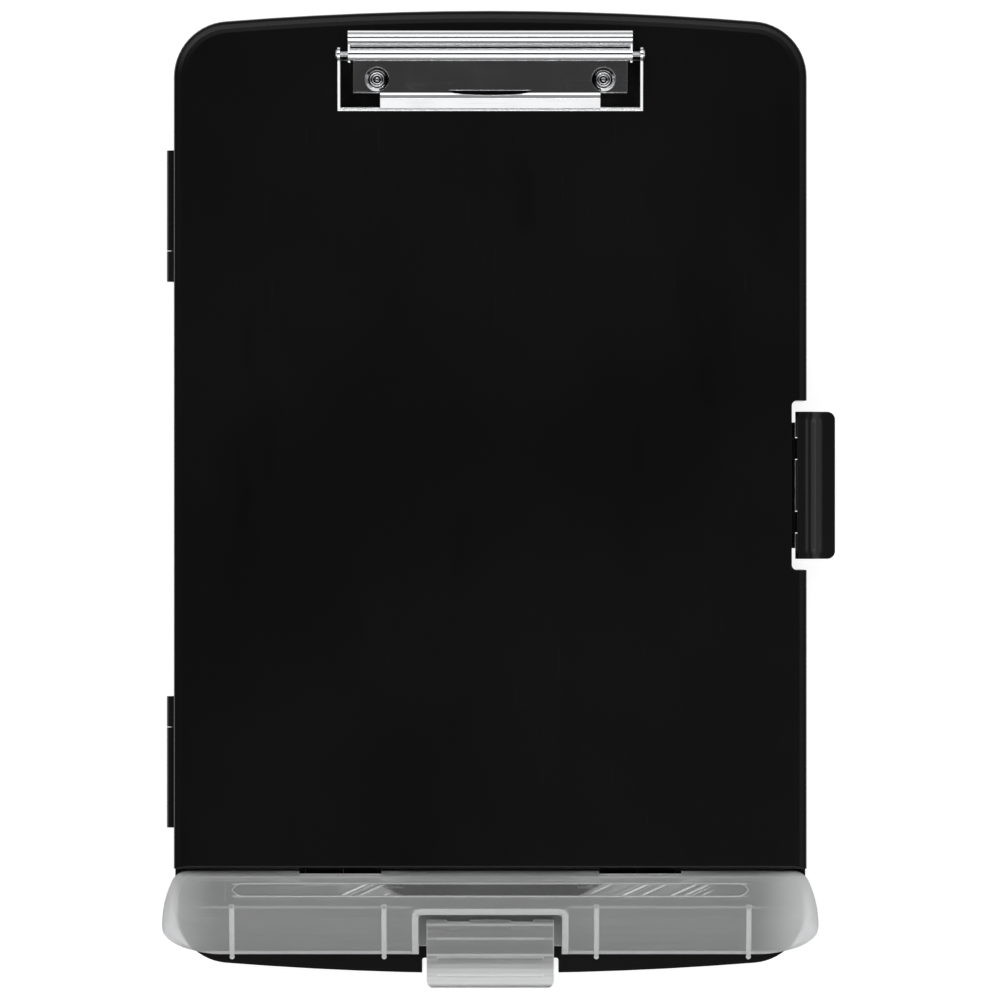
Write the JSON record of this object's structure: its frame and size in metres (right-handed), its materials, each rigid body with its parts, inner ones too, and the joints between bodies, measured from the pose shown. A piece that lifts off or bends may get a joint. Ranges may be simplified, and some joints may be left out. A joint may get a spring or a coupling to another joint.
{
  "type": "storage clipboard box",
  "caption": "Letter-size clipboard on a shallow storage box: hinged writing cover with a spring clip, side latch and a frosted pen compartment lid with its own latch.",
  "frame": {"origin": "centre of the flat back face, on which the box lies", "axes": "+Z out of the writing cover, +Y along the case towards the clip, +X towards the side latch"},
  "size_m": [0.2563, 0.3718, 0.0378],
  "materials": {
    "case_plastic": "satin black, fine grain",
    "frosted_plastic": "frosted translucent",
    "clip_chrome": "nickel-chrome plated sheet",
    "steel": "plain steel wire and pins"
  },
  "bodies": {
    "tray": {"base_tray": "case_plastic", "cover_pin_upper": "steel", "cover_pin_lower": "steel", "pen_lid_pin_left": "steel", "pen_lid_pin_right": "steel"},
    "cover": {"cover": "case_plastic", "side_latch_pin": "steel", "clip_base_plate": "clip_chrome", "clip_pivot_rod": "steel", "clip_rivet_left": "clip_chrome", "clip_rivet_right": "clip_chrome", "clip_washer_left": "clip_chrome", "clip_washer_right": "clip_chrome", "clip_backing_washer_left": "steel", "clip_backing_washer_right": "steel"},
    "side_latch": {"side_latch": "case_plastic"},
    "pen_lid": {"pen_lid": "frosted_plastic", "pen_latch_pin": "steel"},
    "pen_latch": {"pen_latch": "frosted_plastic"},
    "clip_clamp": {"clip_clamp": "clip_chrome", "clip_spring_left": "steel", "clip_spring_right": "steel"}
  },
  "joints": [
    {"name": "cover_hinge", "type": "hinge", "parent": "tray", "child": "cover", "pos_m": [-0.1206, 0, 0.02015], "axis": [0, -1, 0], "range_deg": [0, 180]},
    {"name": "side_latch_hinge", "type": "hinge", "parent": "cover", "child": "side_latch", "pos_m": [0.1183, 0.0029, 0.025], "axis": [0, -1, 0], "range_deg": [0, 85]},
    {"name": "pen_lid_hinge", "type": "hinge", "parent": "tray", "child": "pen_lid", "pos_m": [0, -0.1476, 0.024], "axis": [-1, 0, 0], "range_deg": [0, 90]},
    {"name": "pen_latch_hinge", "type": "hinge", "parent": "pen_lid", "child": "pen_latch", "pos_m": [0, -0.1646, 0.0249], "axis": [-1, 0, 0], "range_deg": [0, 80]},
    {"name": "clip_clamp_hinge", "type": "hinge", "parent": "cover", "child": "clip_clamp", "pos_m": [0, 0.1666, 0.0317], "axis": [-1, 0, 0], "range_deg": [0, 25], "stiffness_Nm_per_rad": 0.4, "springref_deg": -28.65}
  ]
}
